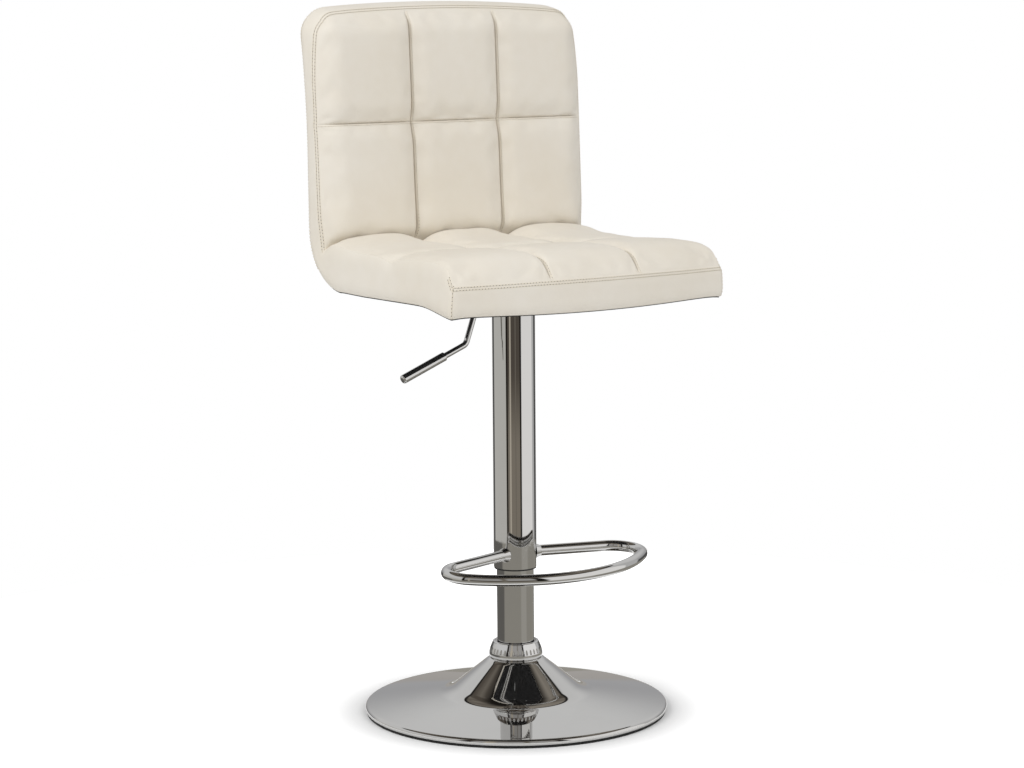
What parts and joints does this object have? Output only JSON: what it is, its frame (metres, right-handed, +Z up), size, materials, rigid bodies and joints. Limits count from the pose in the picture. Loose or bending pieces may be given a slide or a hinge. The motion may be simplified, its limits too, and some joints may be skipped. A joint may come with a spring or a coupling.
{
  "type": "adjustable swivel stool",
  "caption": "Height-adjustable swivel stool with a quilted padded seat and back, a gas lift column with lever, a footrest ring and a round trumpet base.",
  "frame": {"origin": "on the floor, on the axis of the column, under the middle of the round base", "axes": "+Z up along the column; the front of the seat faces -Y; +X is the sitter's left and -X the sitter's right, where the lever is"},
  "size_m": [0.428, 0.41, 0.952],
  "materials": {
    "chrome": "mirror chrome plate on steel",
    "chrome_plastic": "chrome-plated moulded trim",
    "steel": "zinc-plated steel",
    "black_steel": "black powder coat, satin",
    "black_plastic": "moulded black plastic",
    "black_rubber": "matt black rubber",
    "plywood": "bent plywood, unfinished",
    "foam": "open-cell polyurethane foam",
    "cream_leather": "smooth fine-grained ivory imitation leather, satin",
    "black_lining": "non-woven black lining cloth"
  },
  "bodies": {
    "base": {"floor_ring": "black_rubber", "base_shell": "chrome", "ballast_plate": "steel", "base_socket": "steel", "trim_collar": "chrome_plastic", "column_tube": "chrome", "column_end_plate": "steel", "column_guide_bush": "black_plastic", "bearing_lower_washer": "steel", "bearing_balls": "steel", "bearing_cage": "black_plastic"},
    "spindle": {"bearing_upper_washer": "steel", "rubber_buffer": "black_rubber", "retaining_clip": "steel", "piston_rod": "chrome", "piston": "steel"},
    "seat": {"gas_cylinder": "black_steel", "rod_guide": "black_plastic", "cover_tube": "chrome", "tube_upper_bush": "black_plastic", "tube_lower_bush": "black_plastic", "footrest_ring": "chrome", "seat_plate": "black_steel", "taper_hub": "black_steel", "lever_pivot_pin": "steel", "pin_clips": "steel", "seat_bolts": "steel", "bolt_washers": "steel", "tee_nuts": "steel", "plywood_shell": "plywood", "seat_foam": "foam", "back_foam": "foam", "quilted_panel": "cream_leather", "side_border": "cream_leather", "front_border": "cream_leather", "rear_cover": "cream_leather", "underside_cover": "black_lining"},
    "lever": {"lever_rod": "chrome", "lever_grip": "chrome"},
    "button": {"release_button": "steel"}
  },
  "joints": [
    {"name": "seat_swivel", "type": "hinge", "parent": "base", "child": "spindle", "pos_m": [0, 0, 0.03], "axis": [0, 0, 1], "continuous": true},
    {"name": "seat_lift", "type": "slide", "parent": "spindle", "child": "seat", "axis": [0, 0, 1], "range_m": [0, 0.2]},
    {"name": "lever_pivot", "type": "hinge", "parent": "seat", "child": "lever", "pos_m": [-0.04, 0, 0.5663], "axis": [0, 1, 0], "range_deg": [0, 5]},
    {"name": "button_press", "type": "slide", "parent": "seat", "child": "button", "axis": [0, 0, -1], "range_m": [0, 0.0038], "stiffness_N_per_m": 1500, "springref_m": -0.004}
  ],
  "couplings": [
    {"joint": "button_press", "follows": "lever_pivot", "m_per_rad": 0.0434}
  ]
}
